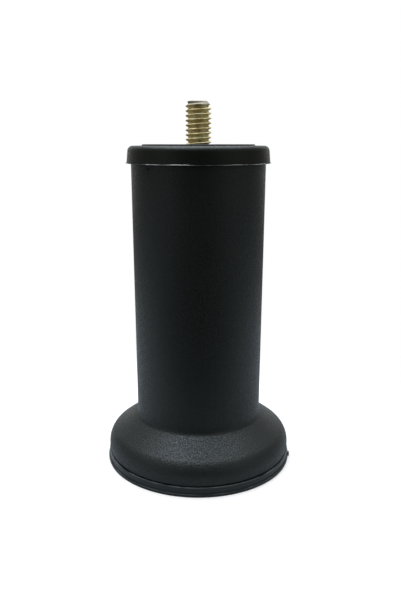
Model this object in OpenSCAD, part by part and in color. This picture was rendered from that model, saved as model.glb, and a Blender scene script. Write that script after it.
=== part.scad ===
// Moulded furniture leg: a slightly flared column on a bulbous foot, a skirted
// cap that holds a threaded stud, and a stepped sole that closes the foot.
// Millimetres, +Z up, origin on the floor under the stud.

/* [Column] */
// Height from the floor to the cap's mounting pad
leg_h = 101.6; // [80:0.1:150]
// Radius of the column at its top rim
column_top_r = 20.75; // [19:0.05:23]
// Radius of the column at the neck, just above the foot
neck_r = 20.1; // [18:0.05:21]
// Wall of the column and of the foot
wall = 2.6; // [2:0.1:3.2]
// Thickness of the web that closes the column at the neck
web_t = 2.6; // [1.8:0.1:4]
// Radius between the bore and the web
bore_floor_r = 1.5; // [0.5:0.1:3]
// Number of ribs round the bore, and of ribs under the web
rib_count = 8; // [4:1:12]
// Thickness of each rib
rib_t = 1.6; // [1:0.1:2.4]
// How far the ribs stand out from the wall of the bore
bore_rib_d = 2.8; // [1:0.1:5]

/* [Foot] */
// Radius of the foot at its widest
foot_r = 29.6; // [28:0.1:34]
// Height of the widest place above the foot's lower edge
foot_belly_h = 2.4; // [1.6:0.1:5]
// How far the foot tucks in from there to its lower edge
foot_tuck = 0.25; // [0.1:0.05:1]
// Width of the rounding from the belly to the foot's top
shoulder_w = 6; // [4:0.1:7.5]
// Height of the same rounding
shoulder_h = 5.9; // [4.5:0.05:7]
// Slope of the foot's top, in degrees from level
foot_slope = 36.5; // [20:0.5:42]
// Radius of the hollow blend from the column into the foot's top
neck_blend_r = 2; // [1:0.1:6]
// Bevel on the foot's lower edge, which shows as a dark seam
seam_bevel = 0.3; // [0.1:0.05:0.6]
// Radius of the hub where the foot's ribs meet
hub_r = 6; // [4:0.5:9]
// Wall of the hub
hub_wall = 2; // [1.2:0.1:3]

/* [Sole] */
// Thickness of the sole
sole_t = 3; // [2.2:0.1:5]
// How far the sole's band stands out past the foot's lower edge
sole_ledge = 0.4; // [0.1:0.05:1]
// How far the bottom flange stands out past the band
flange_d = 0.35; // [0.1:0.05:1]
// Thickness of the bottom flange
flange_t = 0.95; // [0.6:0.05:1.6]
// Round on the sole's edges
sole_edge_r = 0.2; // [0.1:0.05:0.4]
// Width of the ring that the sole stands on
tread_w = 6; // [3:0.5:10]
// Depth of the recess inside that ring
recess_d = 0.6; // [0.2:0.1:1]
// Height of the snap ring that goes up into the foot
snap_h = 3.5; // [3:0.1:5]
// Wall of the snap ring
snap_wall = 1.6; // [1:0.1:2.4]
// Half the height of the bead on the snap ring
bead_h = 0.8; // [0.4:0.1:1.2]
// Gap between the snap ring and the mouth of the foot
snap_gap = 0.1; // [0.05:0.01:0.3]
// Gap between the snap ring and the foot's ribs
rib_gap = 0.4; // [0.2:0.1:1]

/* [Cap] */
// Depth of the cap from its pad to the lip of its skirt
cap_h = 5.65; // [4.5:0.05:10]
// Wall of the skirt at its lip
skirt_wall = 1.05; // [0.8:0.05:2]
// How much narrower the skirt is below the shoulder
skirt_taper = 0.3; // [0:0.05:0.5]
// Round on the cap's shoulder
cap_round_r = 1.7; // [0.8:0.1:2.2]
// Gap between the skirt and the column
skirt_gap = 0.25; // [0.1:0.05:0.4]
// Thickness of the deck, without its pad
deck_t = 3; // [2.4:0.1:4]
// Radius of the raised mounting pad
pad_r = 17.3; // [12:0.1:19]
// Height of the raised mounting pad
pad_h = 0.4; // [0.2:0.05:1]
// Bevel on the edge of the pad
pad_bevel = 0.15; // [0.05:0.05:0.2]
// Length of the plug that goes down into the bore
plug_l = 6; // [4:0.5:12]
// Wall of the plug
plug_wall = 1.6; // [1:0.1:2.4]
// Gap between the plug and the bore
plug_gap = 0.1; // [0.05:0.01:0.3]
// Wall of the boss round the stud's head
boss_wall = 1.6; // [1:0.1:2.4]
// Height of the ribs under the deck
deck_rib_h = 4; // [2:0.5:6]

/* [Stud] */
// Outer radius of the thread, 5/16 inch
stud_r = 3.97; // [2.9:0.01:5]
// Radius of the plain shank under the thread
shank_r = 3.51; // [2.4:0.01:3.7]
// How far the stud stands up out of the pad
stud_l = 12.7; // [8:0.1:40]
// Bevel on the end of the stud
tip_bevel = 0.8; // [0.4:0.1:1.5]
// Gap between the thread and the hole in the deck
hole_gap = 0.08; // [0.05:0.01:0.4]
// Width across the flats of the hexagonal head
head_flats = 12.7; // [10:0.1:17]
// Height of the head
head_h = 5.3; // [3:0.1:8]
// Bevel round the underside of the head
head_bevel = 0.2; // [0.1:0.05:0.4]
// Slope of that bevel, in degrees from level
head_bevel_slope = 34; // [25:1:45]
// Gap between the head and its pocket
head_gap = 0.05; // [0.02:0.01:0.2]

/* [Hidden] */
$fn = 96;
plastic = "#24282a";
plated_steel = "#a39a62";
arc_steps = 10; // points along each rounded stretch of a profile
over = 1;       // how far a cutting shape runs past what it cuts

// heights above the floor
seam_z = sole_t;
belly_z = seam_z + foot_belly_h;
deck_top_z = leg_h - pad_h;
column_top_z = deck_top_z - deck_t;
lip_z = leg_h - cap_h;
plug_z = column_top_z - plug_l;
snap_top_z = seam_z + snap_h;

// the foot's shoulder is a quarter of an ellipse that stops where its slope
// is foot_slope, and a straight slope goes on from there
shoulder_end = atan2(shoulder_h * cos(foot_slope), shoulder_w * sin(foot_slope));

// the ellipse at angle a, moved inwards by inset along its own normal
function shoulder(a, inset) =
    let (nx = cos(a) / shoulder_w, nz = sin(a) / shoulder_h, n = norm([nx, nz]))
    [foot_r - shoulder_w + shoulder_w * cos(a) - inset * nx / n,
     belly_z + shoulder_h * sin(a) - inset * nz / n];

// height of the foot's straight slope at radius r, moved inwards by inset
function slope_z(r, inset) =
    let (start = shoulder(shoulder_end, inset)) start.y + (start.x - r) * tan(foot_slope);

// the hollow blend touches the column and the slope
blend_x = neck_r + neck_blend_r;
blend_z = slope_z(blend_x, 0) + neck_blend_r / cos(foot_slope);

// the web's underside meets the slope of the foot's inner wall below the bore
web_z = slope_z(neck_r - wall, wall);
bore_z = web_z + web_t;

function column_r(z) =
    neck_r + (column_top_r - neck_r) * (z - blend_z) / (column_top_z - blend_z);
function bore_r(z) = column_r(z) - wall;

mouth_r = foot_r - foot_tuck - wall;
band_r = foot_r - foot_tuck + sole_ledge;
flange_r = band_r + flange_d;
snap_r = mouth_r - snap_gap;
bead_r = foot_r - wall - snap_gap;
skirt_in_r = column_top_r + skirt_gap;
skirt_r = skirt_in_r + skirt_wall;
plug_r = bore_r(plug_z) - plug_gap;
hole_r = stud_r + hole_gap;
pocket_r = (head_flats / 2 + head_gap) / cos(30);
boss_r = pocket_r + boss_wall;

function arc(centre, r, from, to, steps = arc_steps) =
    [for (i = [0:steps]) let (a = from + (to - from) * i / steps)
        centre + r * [cos(a), sin(a)]];

// the foot from its lower edge to the end of the shoulder
function belly_side(inset) = concat(
    [for (i = [arc_steps:-1:1]) let (s = i / arc_steps)
        [foot_r - inset - foot_tuck * s * s, belly_z - foot_belly_h * s]],
    [for (i = [0:arc_steps]) shoulder(shoulder_end * i / arc_steps, inset)]);

module leg_outline() {
    edge_r = foot_r - foot_tuck;
    side = belly_side(0);
    rotate_extrude() polygon(concat(
        [[0, seam_z], [edge_r - seam_bevel, seam_z], [edge_r, seam_z + seam_bevel]],
        [for (p = side) if (p.y > seam_z + seam_bevel) p],
        arc([blend_x, blend_z], neck_blend_r, 270 - foot_slope, 180),
        [[column_top_r, column_top_z], [0, column_top_z]]));
}

module foot_hollow() {
    rotate_extrude() polygon(concat(
        [[0, seam_z - over], [mouth_r, seam_z - over]],
        belly_side(wall),
        [[neck_r - wall, web_z], [0, web_z]]));
}

module bore() {
    corner = [bore_r(bore_z) - bore_floor_r, bore_z + bore_floor_r];
    rotate_extrude() polygon(concat(
        [[0, bore_z]],
        arc(corner, bore_floor_r, 270, 360),
        [[bore_r(column_top_z), column_top_z], [bore_r(column_top_z), column_top_z + over],
         [0, column_top_z + over]]));
}

module spokes(count, r_from, r_to, z_from, z_to, t) {
    for (i = [0:count - 1])
        rotate(i * 360 / count)
            translate([r_from, -t / 2, z_from]) cube([r_to - r_from, t, z_to - z_from]);
}

// ribs that carry the column's load out to the foot and down to the sole
module foot_ribs() {
    snap_clear_r = snap_r - snap_wall - rib_gap;
    reach = foot_r - wall / 2;
    intersection() {
        leg_outline();
        union() {
            spokes(rib_count, hub_r - hub_wall / 2, snap_clear_r, seam_z, web_z + web_t / 2, rib_t);
            spokes(rib_count, hub_r - hub_wall / 2, reach, snap_top_z + rib_gap,
                   web_z + web_t / 2, rib_t);
            difference() {
                translate([0, 0, seam_z]) cylinder(r = hub_r, h = web_z + web_t / 2 - seam_z);
                translate([0, 0, seam_z - over])
                    cylinder(r = hub_r - hub_wall, h = web_z - seam_z + over);
            }
        }
    }
}

// fins that stiffen the column between the web and the cap's plug
module bore_ribs() {
    fin_top_z = plug_z - rib_gap;
    difference() {
        spokes(rib_count, bore_r(bore_z) - bore_rib_d, neck_r - wall / 2,
               bore_z - web_t / 2, fin_top_z, rib_t);
        translate([0, 0, bore_z - web_t])
            cylinder(r = bore_r(bore_z) - bore_rib_d, h = fin_top_z - bore_z + web_t + over);
    }
}

module leg_body() {
    color(plastic) {
        difference() {
            leg_outline();
            foot_hollow();
            bore();
        }
        foot_ribs();
        bore_ribs();
    }
}

module top_cap() {
    shoulder_r = skirt_r - skirt_taper;
    color(plastic) difference() {
        union() {
            rotate_extrude() polygon(concat(
                [[0, column_top_z], [skirt_in_r, column_top_z], [skirt_in_r, lip_z], [skirt_r, lip_z]],
                arc([shoulder_r - cap_round_r, deck_top_z - cap_round_r], cap_round_r, 0, 90),
                [[pad_r, deck_top_z], [pad_r, leg_h - pad_bevel], [pad_r - pad_bevel, leg_h],
                 [0, leg_h]]));
            difference() {
                translate([0, 0, plug_z]) cylinder(r = plug_r, h = plug_l + deck_t / 2);
                translate([0, 0, plug_z - over])
                    cylinder(r = plug_r - plug_wall, h = plug_l + over);
            }
            translate([0, 0, column_top_z - head_h]) cylinder(r = boss_r, h = head_h + deck_t / 2);
            spokes(rib_count, pocket_r, plug_r - plug_wall / 2, column_top_z - deck_rib_h,
                   column_top_z + deck_t / 2, rib_t);
        }
        translate([0, 0, column_top_z - head_h - over])
            cylinder(r = pocket_r, h = head_h + over, $fn = 6);
        translate([0, 0, column_top_z]) cylinder(r = hole_r, h = deck_t + pad_h + over);
    }
}

module stud() {
    flat_r = head_flats / 2;
    color(plated_steel) {
        translate([0, 0, column_top_z - head_h]) intersection() {
            cylinder(r = flat_r / cos(30), h = head_h, $fn = 6);
            cylinder(r1 = flat_r - head_bevel, h = head_h,
                     r2 = flat_r - head_bevel + head_h / tan(head_bevel_slope));
        }
        translate([0, 0, column_top_z - head_h / 2])
            cylinder(r = shank_r, h = head_h / 2 + deck_t + pad_h + over);
        rotate_extrude() polygon([
            [0, leg_h], [stud_r, leg_h], [stud_r, leg_h + stud_l - tip_bevel],
            [stud_r - tip_bevel, leg_h + stud_l], [0, leg_h + stud_l]]);
    }
}

module sole() {
    tread_r = flange_r - tread_w;
    color(plastic) rotate_extrude() polygon(concat(
        [[0, recess_d], [tread_r - recess_d, recess_d], [tread_r, 0], [flange_r - sole_edge_r, 0]],
        arc([flange_r - sole_edge_r, sole_edge_r], sole_edge_r, 270, 360, 3),
        arc([flange_r - sole_edge_r, flange_t - sole_edge_r], sole_edge_r, 0, 90, 3),
        [[band_r, flange_t]],
        arc([band_r - sole_edge_r, seam_z - sole_edge_r], sole_edge_r, 0, 90, 3),
        [[snap_r, seam_z], [snap_r, belly_z - bead_h], [bead_r, belly_z],
         [snap_r, belly_z + bead_h], [snap_r, snap_top_z],
         [snap_r - snap_wall, snap_top_z], [snap_r - snap_wall, seam_z], [0, seam_z]]));
}

leg_body();
top_cap();
stud();
sole();
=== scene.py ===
import math

import bpy
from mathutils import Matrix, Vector, noise


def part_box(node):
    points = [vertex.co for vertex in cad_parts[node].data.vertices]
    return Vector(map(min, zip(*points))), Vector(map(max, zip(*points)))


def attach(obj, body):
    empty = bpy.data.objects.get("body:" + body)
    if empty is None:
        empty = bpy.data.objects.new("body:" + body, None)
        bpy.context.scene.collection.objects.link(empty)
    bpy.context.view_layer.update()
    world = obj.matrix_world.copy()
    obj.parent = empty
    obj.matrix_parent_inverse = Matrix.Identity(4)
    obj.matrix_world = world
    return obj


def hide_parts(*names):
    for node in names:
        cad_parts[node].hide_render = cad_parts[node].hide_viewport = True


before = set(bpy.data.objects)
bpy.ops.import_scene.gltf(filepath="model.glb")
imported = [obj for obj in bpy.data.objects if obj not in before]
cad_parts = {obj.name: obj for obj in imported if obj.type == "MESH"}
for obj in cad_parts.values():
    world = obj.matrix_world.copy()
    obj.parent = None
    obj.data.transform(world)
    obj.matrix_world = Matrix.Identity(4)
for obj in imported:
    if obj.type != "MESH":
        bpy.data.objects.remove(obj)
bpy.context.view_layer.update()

mm = 0.001
imageSize = (401, 601)         # pixels
mergeDistance = 0.002 * mm     # points closer than this become one
pickTolerance = 0.001 * mm     # how near a face has to be to the place it is picked by
cutTolerance = 0.0001 * mm     # how near a cut a point has to be to lie on it


def linearFromHex(hexColour):
    # sRGB hex to the linear colour that the shaders want
    channels = [int(hexColour[i:i + 2], 16) / 255 for i in (1, 3, 5)]
    return [c / 12.92 if c <= 0.04045 else ((c + 0.055) / 1.055) ** 2.4 for c in channels] + [1]


def addNode(tree, kind, settings=None, inputs=None):
    # inputs: socket name or number -> a value, or another node's output
    node = tree.nodes.new(kind)
    for name, value in (settings or {}).items():
        setattr(node, name, value)
    for name, value in (inputs or {}).items():
        if isinstance(value, bpy.types.NodeSocket):
            tree.links.new(value, node.inputs[name])
        else:
            node.inputs[name].default_value = value
    return node


def newMaterial(name):
    material = bpy.data.materials.new(name)
    material.use_nodes = True
    tree = material.node_tree
    tree.nodes.clear()
    output = addNode(tree, "ShaderNodeOutputMaterial")
    return material, tree, output


def dress(piece, material):
    piece.data.materials.clear()
    piece.data.materials.append(material)


def deselectAll():
    if bpy.context.mode != "OBJECT":
        bpy.ops.object.mode_set(mode="OBJECT")
    bpy.ops.object.select_all(action="DESELECT")


def pick(piece):
    deselectAll()
    piece.select_set(True)
    bpy.context.view_layer.objects.active = piece


def applyPlace(piece):
    # the piece's place goes into its mesh, and its origin to the frame's
    pick(piece)
    bpy.ops.object.transform_apply(location=True, rotation=True, scale=True)


def selectWhere(piece, test, kind="VERT"):
    # goes to edit mode with the vertices selected that pass the test, or the faces whose middle does
    pick(piece)
    bpy.ops.object.mode_set(mode="EDIT")
    bpy.ops.mesh.select_mode(type=kind)
    bpy.ops.mesh.select_all(action="DESELECT")
    bpy.ops.object.mode_set(mode="OBJECT")
    if kind == "VERT":
        for v in piece.data.vertices:
            v.select = test(v.co)
    else:
        for f in piece.data.polygons:
            f.select = test(f.center)
    bpy.ops.object.mode_set(mode="EDIT")


def applyModifier(piece, kind, **settings):
    pick(piece)
    modifier = piece.modifiers.new(kind.lower(), kind)
    for name, value in settings.items():
        setattr(modifier, name, value)
    bpy.ops.object.modifier_apply(modifier=modifier.name)


def join(piece, other, operation="UNION"):
    applyModifier(piece, "BOOLEAN", object=other, operation=operation, solver="EXACT")
    bpy.data.objects.remove(other)


def finishPiece(piece, name, material, smoothAngle=30):
    applyPlace(piece)
    bpy.ops.object.mode_set(mode="EDIT")
    bpy.ops.mesh.select_all(action="SELECT")
    bpy.ops.mesh.remove_doubles(threshold=mergeDistance)
    bpy.ops.mesh.normals_make_consistent(inside=False)
    bpy.ops.object.mode_set(mode="OBJECT")
    bpy.ops.object.shade_smooth_by_angle(angle=math.radians(smoothAngle))
    piece.name = piece.data.name = name
    dress(piece, material)
    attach(piece, "root")
    deselectAll()


cameraView = {
    "distance": 197.15 * mm,   # from the leg's axis
    "height": 101.85 * mm,
    "pitch": 12.34,            # degrees down
    "focalPixels": 629.0,
    "centrePixel": (198.45, 281.0),  # where the optical axis meets the picture
    "sensorWidth": 36,         # already in mm, as cameras are set
    "clipStart": 10 * mm,
}


def makeCamera():
    data = bpy.data.cameras.new("camera")
    camera = bpy.data.objects.new("camera", data)
    bpy.context.scene.collection.objects.link(camera)
    longSide = max(imageSize)
    data.sensor_width = cameraView["sensorWidth"]
    data.sensor_fit = "AUTO"
    data.lens = cameraView["focalPixels"] / longSide * data.sensor_width
    data.shift_x = (imageSize[0] / 2 - cameraView["centrePixel"][0]) / longSide
    data.shift_y = (cameraView["centrePixel"][1] - imageSize[1] / 2) / longSide
    data.clip_start = cameraView["clipStart"]
    camera.location = (0, -cameraView["distance"], cameraView["height"])
    camera.rotation_euler = (math.radians(90 - cameraView["pitch"]), 0, 0)
    bpy.context.scene.camera = camera
    print("camera placed")


studio = {
    "roomFront": "#585858",    # the room behind the camera, as the object reflects it
    "roomSides": "#979691",
    "roomTurns": (-1.0, -0.4),  # where it changes, as the Y of a direction
    "backdropStarts": (0.62, 0.95),  # and where the white backdrop begins
    "lampColour": "#edf3ff",
    # name: size across, size along, place, watts
    "lamps": {
        "overhead": (0.72, 0.60, (0.0, 0.13, 0.62), 6.7),
        "key": (0.22, 0.22, (-0.14, -0.05, 0.58), 0.75),
        "frontLeft": (0.50, 0.60, (-0.60, -0.45, 0.28), 0.40),
        "frontRight": (0.50, 0.60, (0.60, -0.45, 0.28), 0.36),
    },
    "aim": (0, 0, 0.05),
    "floorSize": 3.0,
    "floorColour": "#eae7e2",  # near the leg, where the camera sees its shadow
    "floorLift": 0.235,        # brings the lit floor up to the white of the background
    "floorFades": (0.050, 0.110),  # distances between which the camera sees it turn white
    "mirroredColour": "#b3b9bb",  # the floor behind the leg, as the glossy plastic sees it, painted lighter as a painted pool of light
    "mirroredPaintedShade": "#494741",    # painted shade on the floor in front of the leg and far away, as the gloss sees it
    "mirroredFar": (0.09, 0.45),  # distances between which it turns dark
    "mirroredFront": (-0.085, -0.035),  # Y between which the dark front ends
    "mirroredBackdrop": (0.55, 0.95),   # Y between which gloss sees it turn into the backdrop
}


def makeWorld():
    # the camera sees plain white; gloss and glass see that white behind the object, and
    # a grey room on the other sides, darker towards the camera
    world = bpy.data.worlds.new("studioRoom")
    bpy.context.scene.world = world
    world.use_nodes = True
    tree = world.node_tree
    tree.nodes.clear()
    output = addNode(tree, "ShaderNodeOutputWorld")
    place = addNode(tree, "ShaderNodeTexCoord")
    axes = addNode(tree, "ShaderNodeSeparateXYZ", inputs={0: place.outputs["Generated"]})
    start, end = studio["roomTurns"]
    turn = addNode(tree, "ShaderNodeMapRange", inputs={
        "Value": axes.outputs["Y"], "From Min": start, "From Max": end})
    shade = addNode(tree, "ShaderNodeMix", {"data_type": "RGBA"}, {
        "Factor": turn.outputs[0], 6: linearFromHex(studio["roomFront"]),
        7: linearFromHex(studio["roomSides"])})
    start, end = studio["backdropStarts"]
    behind = addNode(tree, "ShaderNodeMapRange", {"interpolation_type": "SMOOTHSTEP"}, {
        "Value": axes.outputs["Y"], "From Min": start, "From Max": end})
    ray = addNode(tree, "ShaderNodeLightPath")
    sharp = addNode(tree, "ShaderNodeMath", {"operation": "MAXIMUM"},
                    {0: ray.outputs["Is Glossy Ray"], 1: ray.outputs["Is Transmission Ray"]})
    mirrored = addNode(tree, "ShaderNodeMath", {"operation": "MULTIPLY"},
                       {0: sharp.outputs[0], 1: behind.outputs[0]})
    showsWhite = addNode(tree, "ShaderNodeMath", {"operation": "MAXIMUM"},
                         {0: ray.outputs["Is Camera Ray"], 1: mirrored.outputs[0]})
    room = addNode(tree, "ShaderNodeBackground", inputs={"Color": shade.outputs[2]})
    white = addNode(tree, "ShaderNodeBackground", inputs={"Color": (1, 1, 1, 1)})
    mix = addNode(tree, "ShaderNodeMixShader", inputs={0: showsWhite.outputs[0],
                                                       1: room.outputs[0], 2: white.outputs[0]})
    tree.links.new(mix.outputs[0], output.inputs["Surface"])
    print("room made")


def makeFloor():
    # pale floor paint, rolled on flat and matt: near the leg it takes a soft shadow, and
    # away from it the camera and the gloss see it turn into the white backdrop. As the gloss sees it, the
    # floor is also painted with a pool of light behind the leg and painted shade in front of it and far
    # away.
    deselectAll()
    bpy.ops.mesh.primitive_plane_add(size=studio["floorSize"], location=(0, 0, 0))
    floor = bpy.context.object
    floor.name = "floor"
    material, tree, output = newMaterial("paleFloorPaint")
    place = addNode(tree, "ShaderNodeTexCoord")
    axes = addNode(tree, "ShaderNodeSeparateXYZ", inputs={0: place.outputs["Object"]})
    away = addNode(tree, "ShaderNodeVectorMath", {"operation": "LENGTH"}, {0: place.outputs["Object"]})
    fades = {}
    for name, measure in (("floorFades", away.outputs["Value"]), ("mirroredFar", away.outputs["Value"]),
                          ("mirroredFront", axes.outputs["Y"]), ("mirroredBackdrop", axes.outputs["Y"])):
        start, end = studio[name]
        fades[name] = addNode(tree, "ShaderNodeMapRange", {"interpolation_type": "SMOOTHSTEP"},
                              {"Value": measure, "From Min": start, "From Max": end}).outputs[0]
    lit = addNode(tree, "ShaderNodeBsdfDiffuse", inputs={"Color": linearFromHex(studio["floorColour"])})
    lift = addNode(tree, "ShaderNodeEmission", inputs={"Strength": studio["floorLift"]})
    near = addNode(tree, "ShaderNodeAddShader", inputs={0: lit.outputs[0], 1: lift.outputs[0]})
    white = addNode(tree, "ShaderNodeEmission", inputs={"Strength": 1.0})
    seen = addNode(tree, "ShaderNodeMixShader", inputs={
        0: fades["floorFades"], 1: near.outputs[0], 2: white.outputs[0]})
    # painted pool of light on the floor as the gloss sees it: lit near and behind the leg, painted shade
    # in front and far away
    paintedLightPool = addNode(tree, "ShaderNodeMath", {"operation": "SUBTRACT", "use_clamp": True},
                     {0: fades["mirroredFront"], 1: fades["mirroredFar"]})
    shade = addNode(tree, "ShaderNodeMix", {"data_type": "RGBA"}, {
        "Factor": paintedLightPool.outputs[0], 6: linearFromHex(studio["mirroredPaintedShade"]),
        7: linearFromHex(studio["mirroredColour"])})
    plain = addNode(tree, "ShaderNodeBsdfDiffuse", inputs={"Color": shade.outputs[2]})
    ray = addNode(tree, "ShaderNodeLightPath")
    sharp = addNode(tree, "ShaderNodeMath", {"operation": "MAXIMUM"},
                    {0: ray.outputs["Is Glossy Ray"], 1: ray.outputs["Is Transmission Ray"]})
    showsWhite = addNode(tree, "ShaderNodeMath", {"operation": "MULTIPLY"},
                         {0: sharp.outputs[0], 1: fades["mirroredBackdrop"]})
    mirrored = addNode(tree, "ShaderNodeMixShader", inputs={
        0: showsWhite.outputs[0], 1: plain.outputs[0], 2: white.outputs[0]})
    both = addNode(tree, "ShaderNodeMixShader", inputs={0: ray.outputs["Is Camera Ray"],
                                                        1: mirrored.outputs[0], 2: seen.outputs[0]})
    tree.links.new(both.outputs[0], output.inputs["Surface"])
    dress(floor, material)
    print("floor laid")


def makeLamps():
    for name, (across, along, place, watts) in studio["lamps"].items():
        data = bpy.data.lights.new(name, "AREA")
        data.shape = "RECTANGLE"
        data.size = across
        data.size_y = along
        data.energy = watts
        data.color = linearFromHex(studio["lampColour"])[:3]
        lamp = bpy.data.objects.new(name, data)
        bpy.context.scene.collection.objects.link(lamp)
        lamp.location = place
        aim = Vector(studio["aim"]) - Vector(place)
        lamp.rotation_euler = aim.to_track_quat("-Z", "Y").to_euler()
    print("studio lit")


bodyPlasticLook = {
    "darkTone": "#0a0d0e",
    "lightTone": "#101210",
    "ior": 1.49,
    "gloss": 0.5,
    "glossTint": "#f2fdfa",
    "flow": 13 * mm,           # how wide the cloudy flow marks are
    "flowRange": (0.35, 0.65),  # values of their noise from all dark to all light
    "grain": 0.42 * mm,        # the real grain is about half of this, too fine to show
    "grainRange": (0.3, 0.7),
    "grainDepth": 0.085 * mm,
    "roughness": (0.36, 0.64),
    # painted highlight: a lighter tone laid along edges where they catch the lamps
    "paintedHighlightTone": "#6c7072",
    "paintedHighlightPatch": 6 * mm,
    "paintedHighlightPatchRange": (0.35, 0.6),
    # radius and height of an edge, how far the painted highlight reaches from it, and how strong it is
    "rubbedAndPaintedHighlight": [(29.3 * mm, 3.3 * mm, 0.30 * mm, 0.3)],
}


def paintedHighlightRings(tree, place, look):
    # 1 on the edges that get a painted highlight, each a circle round the axis, and 0 away from them
    axes = addNode(tree, "ShaderNodeSeparateXYZ", inputs={0: place.outputs["Object"]})
    flat = addNode(tree, "ShaderNodeCombineXYZ", inputs={0: axes.outputs["X"], 1: axes.outputs["Y"]})
    out = addNode(tree, "ShaderNodeVectorMath", {"operation": "LENGTH"}, {0: flat.outputs[0]})
    spot = addNode(tree, "ShaderNodeCombineXYZ", inputs={0: out.outputs["Value"], 1: axes.outputs["Z"]})
    rubbedAndPaintedHighlight = 0.0
    for radius, height, reach, amount in look["rubbedAndPaintedHighlight"]:
        away = addNode(tree, "ShaderNodeVectorMath", {"operation": "DISTANCE"},
                       {0: spot.outputs[0], 1: (radius, height, 0)})
        near = addNode(tree, "ShaderNodeMapRange", inputs={
            "Value": away.outputs["Value"], "From Min": reach, "From Max": 0, "To Max": amount})
        rubbedAndPaintedHighlight = addNode(tree, "ShaderNodeMath", {"operation": "MAXIMUM"},
                         {0: near.outputs[0], 1: rubbedAndPaintedHighlight}).outputs[0]
    return rubbedAndPaintedHighlight


def makeBlackPlastic(name, look):
    # black polypropylene, moulded in a spark-eroded tool: an even matt grain that breaks up
    # the highlights, with faint clouds where the melt flowed round the core, and a lighter tone painted
    # along chosen edges as a painted highlight
    material, tree, output = newMaterial(name)
    place = addNode(tree, "ShaderNodeTexCoord")
    spots, clouds = {}, {}     # each noise as it comes, and stretched to run from 0 to 1
    for pattern, detail in (("flow", 3.0), ("grain", 1.0), ("paintedHighlightPatch", 2.0)):
        spots[pattern] = addNode(tree, "ShaderNodeTexNoise", inputs={
            "Vector": place.outputs["Object"], "Scale": 1 / look[pattern],
            "Detail": detail}).outputs["Fac"]
        low, high = look[pattern + "Range"]
        clouds[pattern] = addNode(tree, "ShaderNodeMapRange", inputs={
            "Value": spots[pattern], "From Min": low, "From Max": high}).outputs[0]
    tone = addNode(tree, "ShaderNodeMix", {"data_type": "RGBA"}, {
        "Factor": clouds["flow"], 6: linearFromHex(look["darkTone"]), 7: linearFromHex(look["lightTone"])})
    # painted highlight along the chosen edges, broken into patches
    worn = addNode(tree, "ShaderNodeMath", {"operation": "MULTIPLY"},
                   {0: paintedHighlightRings(tree, place, look), 1: clouds["paintedHighlightPatch"]})
    tone = addNode(tree, "ShaderNodeMix", {"data_type": "RGBA"}, {
        "Factor": worn.outputs[0], 6: tone.outputs[2], 7: linearFromHex(look["paintedHighlightTone"])})
    satin, matt = look["roughness"]
    roughness = addNode(tree, "ShaderNodeMapRange", inputs={
        "Value": clouds["grain"], "To Min": satin, "To Max": matt})
    texture = addNode(tree, "ShaderNodeBump", inputs={
        "Height": spots["grain"], "Distance": look["grainDepth"], "Strength": 1.0})
    plastic = addNode(tree, "ShaderNodeBsdfPrincipled", inputs={
        "Base Color": tone.outputs[2], "Roughness": roughness.outputs[0], "IOR": look["ior"],
        "Specular IOR Level": look["gloss"], "Specular Tint": linearFromHex(look["glossTint"]),
        "Normal": texture.outputs["Normal"]})
    tree.links.new(plastic.outputs[0], output.inputs["Surface"])
    return material


# the cap is the same polypropylene from a plainer tool, with less grain and less gloss
capPlasticLook = dict(bodyPlasticLook, darkTone="#050606", lightTone="#090a0a", flow=9 * mm,
                      grainDepth=0.02 * mm, roughness=(0.36, 0.56), gloss=0.30,
                      glossTint="#f2fdec", rubbedAndPaintedHighlight=[])
# its flash is torn and stretched so thin that the black turns grey, and it is painted paler still as a
# painted highlight where its top catches the light
flashLook = dict(capPlasticLook, darkTone="#5c5d5a", lightTone="#a2a39f", flow=2.5 * mm)
# the sole is moulded polyethylene, smoother and waxier, so its edges catch a sharper line; two of them
# also get a painted highlight
solePlasticLook = dict(bodyPlasticLook, darkTone="#0c1011", lightTone="#141717", flow=20 * mm,
                       grainDepth=0.012 * mm, roughness=(0.28, 0.44),
                       # painted highlight on the top edges of the band and of the flange
                       rubbedAndPaintedHighlight=[(29.72 * mm, 2.97 * mm, 0.32 * mm, 1.0),
                               (30.07 * mm, 0.92 * mm, 0.28 * mm, 0.5)])

zincLook = {
    "worn": "#efe7c2",         # the plating where it is thin
    "passivated": "#d5c582",   # the yellow passivation
    "brown": "#c4a56c",        # where it dried thick
    "bareEnd": "#96917f",      # the end, where the plating is rubbed to grey
    "patch": 1.6 * mm,         # size of the patches, and the values of their noise
    "patchRange": (0.35, 0.65),  # from all passivated to all worn
    "stain": 2.6 * mm,
    "stainRange": (0.56, 0.72),
    "bareFrom": 112.6 * mm,    # heights between which the grey end fades in
    "bareFull": 113.4 * mm,
    "roughness": (0.40, 0.58),
    "bareRoughness": 0.72,
}


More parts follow.
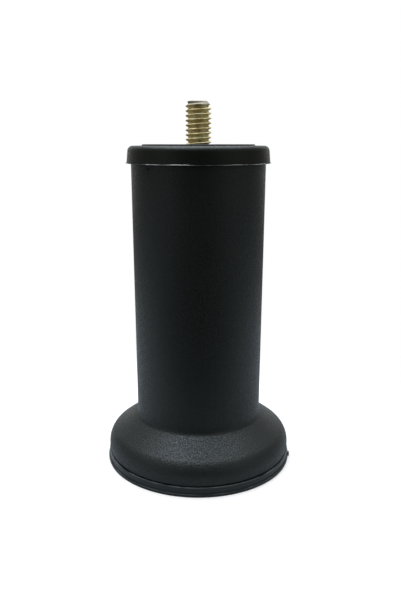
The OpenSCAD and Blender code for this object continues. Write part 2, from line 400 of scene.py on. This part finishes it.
def makeZincSteel():
    # steel, rolled thread, zinc plated and yellow passivated: a soft olive-gold metal that
    # is paler where it was rubbed and browner where the passivation dried thick
    look = zincLook
    material, tree, output = newMaterial("yellowPassivatedZinc")
    place = addNode(tree, "ShaderNodeTexCoord")
    axes = addNode(tree, "ShaderNodeSeparateXYZ", inputs={0: place.outputs["Object"]})
    clouds = {}
    for pattern in ("patch", "stain"):
        spots = addNode(tree, "ShaderNodeTexNoise", inputs={
            "Vector": place.outputs["Object"], "Scale": 1 / look[pattern], "Detail": 3.0})
        low, high = look[pattern + "Range"]
        clouds[pattern] = addNode(tree, "ShaderNodeMapRange", inputs={
            "Value": spots.outputs["Fac"], "From Min": low, "From Max": high}).outputs[0]
    rubbedAndPaintedHighlight = addNode(tree, "ShaderNodeMapRange", {"interpolation_type": "SMOOTHSTEP"}, {
        "Value": axes.outputs["Z"], "From Min": look["bareFrom"], "From Max": look["bareFull"]})
    tone = linearFromHex(look["passivated"])
    for amount, colour in ((clouds["patch"], "worn"), (clouds["stain"], "brown"),
                           (rubbedAndPaintedHighlight.outputs[0], "bareEnd")):
        tone = addNode(tree, "ShaderNodeMix", {"data_type": "RGBA"}, {
            "Factor": amount, 6: tone, 7: linearFromHex(look[colour])}).outputs[2]
    satin, matt = look["roughness"]
    plated = addNode(tree, "ShaderNodeMapRange", inputs={
        "Value": clouds["patch"], "To Min": satin, "To Max": matt})
    roughness = addNode(tree, "ShaderNodeMapRange", inputs={
        "Value": rubbedAndPaintedHighlight.outputs[0], "To Min": plated.outputs[0], "To Max": look["bareRoughness"]})
    metal = addNode(tree, "ShaderNodeBsdfPrincipled", inputs={
        "Base Color": tone, "Metallic": 1.0, "Roughness": roughness.outputs[0]})
    tree.links.new(metal.outputs[0], output.inputs["Surface"])
    return material


threadedStud = {
    "pitch": 25.4 / 18 * mm,
    "majorRadius": 3.94 * mm,
    "minorRadius": 3.12 * mm,
    "crestFlat": 0.14,          # parts of one pitch
    "rootFlat": 0.20,
    "rolledRound": 0.07 * mm,   # on the crests and in the roots
    "roundSegments": 2,
    "startAngle": 177.5,        # degrees, sets where round the stud the crests come
    "steps": 72,                # round one turn
    "leadTurns": 2,             # turns made below the thread's end, and cut off
    "runIn": 0.9 * mm,          # how far the thread goes down into the deck
    "tipRadius": (2.65 * mm, 3.2 * mm),  # at the rounded side of the tip, and at the burred side
    "dish": 0.25 * mm,          # depth of the hollow that rolling leaves in the end
    "dishSize": 0.7,            # its share of the end's width
    "dishFloor": 0.5,           # its flat floor's share of its own width
    "overlap": 0.05 * mm,       # of the shank with the thread and the head
    "facets": 96,               # round the shank and the head's bevel
    "shankRadius": 3.51 * mm,
    "headFlats": 12.7 * mm,
    "headHeight": 5.3 * mm,
    "headBevel": 0.2 * mm,      # from the flats in to the rim of the head's lower face
    "headBevelSlope": 34,       # degrees from level
}


def makeThread(low, high):
    # one tooth is drawn point by point in the XZ plane, and turned up into a helix
    t = threadedStud
    pitch, major, minor = t["pitch"], t["majorRadius"], t["minorRadius"]
    root, crest = t["rootFlat"] * pitch, t["crestFlat"] * pitch
    flank = (pitch - root - crest) / 2
    start = low - t["leadTurns"] * pitch
    deselectAll()
    bpy.ops.mesh.primitive_plane_add(size=pitch, location=(minor, 0, start))
    thread = bpy.context.object
    bpy.ops.object.mode_set(mode="EDIT")
    bpy.ops.mesh.select_all(action="SELECT")
    bpy.ops.mesh.merge(type="CENTER")
    for out, up in ((0, root), (major - minor, flank), (0, crest), (minor - major, flank)):
        bpy.ops.mesh.extrude_vertices_move(TRANSFORM_OT_translate={"value": (out, 0, up)})
    applyPlace(thread)
    selectWhere(thread, lambda co: start + root / 2 < co.z < start + pitch - root / 2)
    bpy.ops.mesh.bevel(offset=t["rolledRound"], segments=t["roundSegments"], affect="VERTICES")
    bpy.ops.object.mode_set(mode="OBJECT")
    applyModifier(thread, "SCREW", axis="Z", angle=math.tau, screw_offset=pitch,
                  iterations=math.ceil((high - start) / pitch) + 1, steps=t["steps"],
                  render_steps=t["steps"], use_merge_vertices=True, merge_threshold=mergeDistance)
    thread.rotation_euler = (0, 0, math.radians(t["startAngle"]))
    applyPlace(thread)
    bpy.ops.object.mode_set(mode="EDIT")
    bpy.ops.mesh.select_all(action="SELECT")
    bpy.ops.mesh.remove_doubles(threshold=mergeDistance)  # joins each turn to the next
    for z, upper in ((low, False), (high, True)):
        bpy.ops.mesh.select_all(action="SELECT")
        bpy.ops.mesh.bisect(plane_co=(0, 0, z), plane_no=(0, 0, 1), use_fill=True,
                            clear_outer=upper, clear_inner=not upper, threshold=cutTolerance)
    bpy.ops.mesh.select_all(action="SELECT")
    bpy.ops.mesh.normals_make_consistent(inside=False)
    bpy.ops.object.mode_set(mode="OBJECT")
    return thread


def makeStud(material):
    t = threadedStud
    low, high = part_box("stud")
    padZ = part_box("top_cap")[1].z
    headTop = low.z + t["headHeight"]
    threadLow = padZ - t["runIn"]
    bolt = makeThread(threadLow, high.z)
    # the top face gets a shallow dish, and the rim is worn round on one side and burred on the other
    selectWhere(bolt, lambda co: co.z > high.z - pickTolerance, "FACE")
    for size, drop in ((t["dishSize"], 0), (t["dishFloor"], t["dish"])):
        bpy.ops.mesh.extrude_region_move(TRANSFORM_OT_translate={"value": (0, 0, -drop)})
        bpy.ops.transform.resize(value=(size, size, 1), center_override=(0, 0, 0))
    bpy.ops.object.mode_set(mode="OBJECT")
    worn, burred = t["tipRadius"]
    for v in bolt.data.vertices:
        r = math.hypot(v.co.x, v.co.y)
        if r > worn:
            side = (1 + v.co.x / r) / 2  # 0 on the burred side, 1 on the worn one
            limit = burred + (worn - burred) * side + high.z - v.co.z
            if r > limit:
                v.co.x *= limit / r
                v.co.y *= limit / r
    deselectAll()
    bpy.ops.mesh.primitive_cylinder_add(vertices=t["facets"], radius=t["shankRadius"],
                                        depth=threadLow - headTop + 2 * t["overlap"],
                                        location=(0, 0, (threadLow + headTop) / 2))
    shank = bpy.context.object
    deselectAll()
    halfSide = math.pi / 6      # half the angle that one side of the hexagon takes up
    bpy.ops.mesh.primitive_cylinder_add(vertices=6, radius=t["headFlats"] / 2 / math.cos(halfSide),
                                        depth=t["headHeight"],
                                        location=(0, 0, low.z + t["headHeight"] / 2),
                                        rotation=(0, 0, halfSide))
    head = bpy.context.object
    deselectAll()
    faceRadius = t["headFlats"] / 2 - t["headBevel"]
    bevelRun = t["headHeight"] / math.tan(math.radians(t["headBevelSlope"]))
    bpy.ops.mesh.primitive_cone_add(vertices=t["facets"], radius1=faceRadius,
                                    radius2=faceRadius + bevelRun, depth=t["headHeight"],
                                    location=(0, 0, low.z + t["headHeight"] / 2))
    join(head, bpy.context.object, "INTERSECT")
    join(head, shank)
    join(bolt, head)
    finishPiece(bolt, "threadedStud", material)
    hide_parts("stud")
    print("stud threaded")


capFlash = {
    "lipHeight": 95.95 * mm,   # the lip of the skirt, above the floor
    "sections": 360,
    "inward": 0.25 * mm,       # how far the ring sits in the skirt
    "underside": 0.05 * mm,    # how far it goes below the lip
    "leastStandOut": 0.03 * mm,  # between the tears
    "leastHeight": 0.10 * mm,
    "raggedness": 0.5,         # share by which its edge wavers
    "raggedWidth": 3,          # degrees round from one waver to the next
    "smoothAngle": 50,         # degrees, past which an edge stays sharp
    # degrees round from the front towards +X: middle, half width, then stand-out and height in mm
    "tears": [(-15, 14, 0.30, 0.32), (30, 13, 0.24, 0.22), (-36, 14, 0.18, 0.20), (56, 16, 0.24, 0.24),
              (-86, 9, 0.34, 0.30), (90, 8, 0.28, 0.45), (118, 12, 0.18, 0.25), (152, 9, 0.24, 0.35),
              (-125, 14, 0.20, 0.28), (-163, 8, 0.26, 0.30)],
}


def tearAt(angle):
    # how far the flash stands out there, and how high it is
    f = capFlash
    standOut, height = f["leastStandOut"], f["leastHeight"]
    for middle, halfWidth, most, highest in f["tears"]:
        away = abs((angle - middle + 180) % 360 - 180) / halfWidth
        if away < 1:
            swell = (1 - away ** 2) ** 2
            standOut += swell * most * mm
            height += swell * highest * mm
    # at whole numbers this noise is always 0, so the other two places are halves
    ragged = 1 + f["raggedness"] * noise.noise(Vector((angle / f["raggedWidth"], 0.5, 0.5)))
    return standOut * ragged, height * ragged


def makeCapFlash(material):
    # moulding flash left on the lip of the cap's skirt, a thin torn edge
    f = capFlash
    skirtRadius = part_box("top_cap")[1].x
    innerRadius = skirtRadius - f["inward"]
    deselectAll()
    bpy.ops.mesh.primitive_circle_add(vertices=f["sections"], radius=innerRadius,
                                      location=(0, 0, f["lipHeight"] + f["leastHeight"]))
    ring = bpy.context.object
    bpy.ops.object.mode_set(mode="EDIT")
    bpy.ops.mesh.select_all(action="SELECT")
    outward = skirtRadius / innerRadius
    for size, drop in ((outward, f["leastHeight"]), (1, f["underside"]), (1 / outward, 0)):
        bpy.ops.mesh.extrude_edges_move(TRANSFORM_OT_translate={"value": (0, 0, -drop)})
        bpy.ops.transform.resize(value=(size, size, 1), center_override=(0, 0, 0))
    bpy.ops.mesh.select_all(action="SELECT")
    bpy.ops.mesh.region_to_loop()
    bpy.ops.mesh.bridge_edge_loops()
    bpy.ops.object.mode_set(mode="OBJECT")
    applyPlace(ring)
    middleRadius = (skirtRadius + innerRadius) / 2
    for v in ring.data.vertices:
        r = math.hypot(v.co.x, v.co.y)
        standOut, height = tearAt(math.degrees(math.atan2(v.co.x, -v.co.y)))
        if r > middleRadius:
            v.co.x *= (skirtRadius + standOut) / r
            v.co.y *= (skirtRadius + standOut) / r
        elif v.co.z > f["lipHeight"]:
            v.co.z = f["lipHeight"] + height
    finishPiece(ring, "capFlash", material, f["smoothAngle"])
    print("flash left on the cap")


gateStub = {
    "size": (0.9 * mm, 1.7 * mm, 0.8 * mm),  # outwards, across and up
    "angle": 82,               # degrees round from the front towards +X
    "height": 0.75 * mm,       # of its middle above the floor
    "standOut": 0.40 * mm,     # past the sole's flange
    "bevel": 0.15 * mm,
    "tornRim": 0.25 * mm,      # width of the rim round the torn hollow in its end
    "tornDepth": 0.12 * mm,
}


def makeGateStub(material):
    # the stub of the injection gate, broken off at the sole's edge
    g = gateStub
    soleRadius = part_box("sole")[1].x
    angle = math.radians(g["angle"])
    middle = soleRadius + g["standOut"] - g["size"][0] / 2
    deselectAll()
    bpy.ops.mesh.primitive_cube_add(size=1, scale=g["size"], rotation=(0, 0, angle - math.pi / 2),
                                    location=(middle * math.sin(angle), -middle * math.cos(angle),
                                              g["height"]))
    stub = bpy.context.object
    outward = Vector((math.sin(angle), -math.cos(angle), 0))
    applyPlace(stub)
    selectWhere(stub, lambda co: co.dot(outward) > soleRadius + g["standOut"] - pickTolerance, "FACE")
    bpy.ops.mesh.inset(thickness=g["tornRim"])
    bpy.ops.mesh.extrude_region_move(TRANSFORM_OT_translate={"value": outward * -g["tornDepth"]})
    bpy.ops.object.mode_set(mode="OBJECT")
    applyModifier(stub, "BEVEL", width=g["bevel"], segments=2, limit_method="ANGLE")
    finishPiece(stub, "gateStub", material)
    print("gate stub left on the sole")


mouldPip = {
    "radius": 0.55 * mm,
    "angle": -45,              # degrees round from the front towards +X
    "height": 94.6 * mm,
    "columnRadius": 20.72 * mm,  # of the column at that height
    "standOut": 0.18 * mm,
    "depth": 0.8 * mm,
    "facets": 32,
    "rim": 1 / 3,              # its share of the radius
    "hollow": 0.8,             # its share of what stands out
    "bevel": 0.04 * mm,
}


def makeMouldPip(material):
    # a small raised ring on the column, the mark of a pin in the mould
    m = mouldPip
    angle = math.radians(m["angle"])
    outward = Vector((math.sin(angle), -math.cos(angle), 0))
    columnRadius = m["columnRadius"]
    middle = outward * (columnRadius + m["standOut"] - m["depth"] / 2)
    deselectAll()
    bpy.ops.mesh.primitive_cylinder_add(vertices=m["facets"], radius=m["radius"], depth=m["depth"],
                                        location=(middle.x, middle.y, m["height"]),
                                        rotation=outward.to_track_quat("Z", "Y").to_euler())
    pip = bpy.context.object
    applyPlace(pip)
    selectWhere(pip, lambda co: co.dot(outward) > columnRadius + m["standOut"] - pickTolerance, "FACE")
    bpy.ops.mesh.inset(thickness=m["radius"] * m["rim"])
    hollow = outward * -m["standOut"] * m["hollow"]
    bpy.ops.mesh.extrude_region_move(TRANSFORM_OT_translate={"value": hollow})
    bpy.ops.object.mode_set(mode="OBJECT")
    applyModifier(pip, "BEVEL", width=m["bevel"], segments=2, limit_method="ANGLE")
    finishPiece(pip, "mouldPip", material)
    print("pin mark left on the column")


bpy.context.scene.view_settings.view_transform = "Standard"
makeCamera()
makeWorld()
makeFloor()
makeLamps()
bodyPlastic = makeBlackPlastic("grainedPolypropylene", bodyPlasticLook)
capPlastic = makeBlackPlastic("satinPolypropylene", capPlasticLook)
solePlastic = makeBlackPlastic("waxyPolyethylene", solePlasticLook)
for node, material in (("leg_body", bodyPlastic), ("top_cap", capPlastic), ("sole", solePlastic)):
    dress(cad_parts[node], material)
print("plastics dressed")
makeStud(makeZincSteel())
makeCapFlash(makeBlackPlastic("tornPolypropylene", flashLook))
makeGateStub(solePlastic)
makeMouldPip(bodyPlastic)
